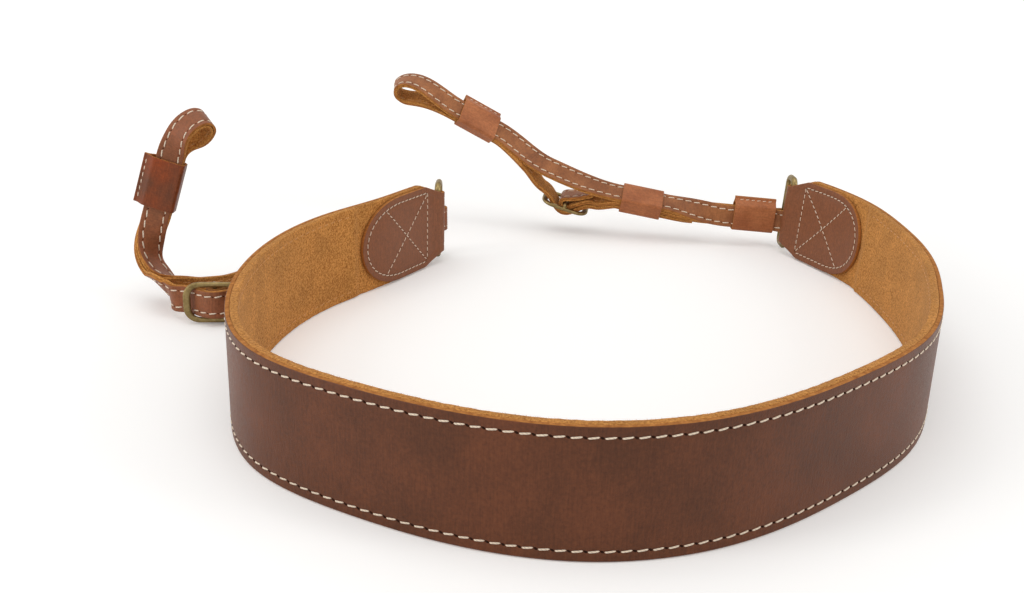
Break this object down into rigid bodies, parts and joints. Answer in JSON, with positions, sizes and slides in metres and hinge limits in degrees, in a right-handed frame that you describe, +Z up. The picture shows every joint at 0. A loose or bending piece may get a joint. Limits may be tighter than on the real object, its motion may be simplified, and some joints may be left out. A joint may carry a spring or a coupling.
{
  "type": "camera strap",
  "caption": "Wide leather shoulder pad with suede lining, folded round a ring at each end, and a narrow buckled strap with sliding keepers and a lug loop on each ring.",
  "frame": {"origin": "middle of the foot of the whole part's box, on the surface that the pad stands on", "axes": "+Z up; the pad's closed bend faces -Y, towards the viewer of the picture; +X to the viewer's right"},
  "size_m": [0.3248, 0.3284, 0.0816],
  "materials": {
    "grain_leather": "smooth brown grain leather, semi-gloss",
    "strap_leather": "lighter brown grain leather, satin",
    "keeper_leather": "reddish brown grain leather, satin",
    "suede": "tan suede, matt nap",
    "antique_brass": "antique brass, dull polish"
  },
  "bodies": {
    "pad": {"pad_leather": "grain_leather", "pad_suede_lining": "suede"},
    "ring_left": {"ring_left": "antique_brass"},
    "narrow_strap_left": {"strap_left_leather": "strap_leather", "strap_left_suede": "suede", "buckle_left": "antique_brass"},
    "keeper_left_end": {"keeper_left_end": "keeper_leather"},
    "keeper_left_middle": {"keeper_left_middle": "keeper_leather"},
    "keeper_left_lug": {"keeper_left_lug": "keeper_leather"},
    "ring_right": {"ring_right": "antique_brass"},
    "narrow_strap_right": {"strap_right_leather": "strap_leather", "strap_right_suede": "suede", "buckle_right": "antique_brass"},
    "keeper_right_end": {"keeper_right_end": "keeper_leather"},
    "keeper_right_middle": {"keeper_right_middle": "keeper_leather"},
    "keeper_right_lug": {"keeper_right_lug": "keeper_leather"}
  },
  "joints": [
    {"name": "ring_left_in_fold", "type": "hinge", "parent": "pad", "child": "ring_left", "pos_m": [-0.03946, 0.09287, 0.02], "axis": [0, 0, 1], "range_deg": [-40, 3]},
    {"name": "narrow_strap_left_on_ring", "type": "hinge", "parent": "ring_left", "child": "narrow_strap_left", "pos_m": [-0.03946, 0.10386, 0.0185], "axis": [0, 0, 1], "range_deg": [-45, 2]},
    {"name": "keeper_left_end_slide", "type": "slide", "parent": "narrow_strap_left", "child": "keeper_left_end", "axis": [-0.9395, -0.342, -0.0175], "range_m": [-0.0004, 0.0012]},
    {"name": "keeper_left_middle_slide", "type": "slide", "parent": "narrow_strap_left", "child": "keeper_left_middle", "axis": [-0.6682, -0.7421, -0.0523], "range_m": [-0.0012, 0.0012]},
    {"name": "keeper_left_lug_slide", "type": "slide", "parent": "narrow_strap_left", "child": "keeper_left_lug", "axis": [0.286, 0.0608, 0.9563], "range_m": [-0.0012, 0.0012]},
    {"name": "ring_right_in_fold", "type": "hinge", "parent": "pad", "child": "ring_right", "pos_m": [0.1356, 0.12588, 0.01995], "axis": [0.0659, 0.0314, 0.9973], "range_deg": [-40, 40]},
    {"name": "narrow_strap_right_on_ring", "type": "hinge", "parent": "ring_right", "child": "narrow_strap_right", "pos_m": [0.13518, 0.13669, 0.0136], "axis": [0.0659, 0.0314, 0.9973], "range_deg": [-40, 40]},
    {"name": "keeper_right_end_slide", "type": "slide", "parent": "narrow_strap_right", "child": "keeper_right_end", "axis": [-0.998, 0, 0.0628], "range_m": [-0.0004, 0.0012]},
    {"name": "keeper_right_middle_slide", "type": "slide", "parent": "narrow_strap_right", "child": "keeper_right_middle", "axis": [-0.9839, 0.0861, 0.1564], "range_m": [-0.0012, 0.0012]},
    {"name": "keeper_right_lug_slide", "type": "slide", "parent": "narrow_strap_right", "child": "keeper_right_lug", "axis": [-0.8555, -0.1818, 0.4848], "range_m": [-0.0012, 0.0012]}
  ]
}
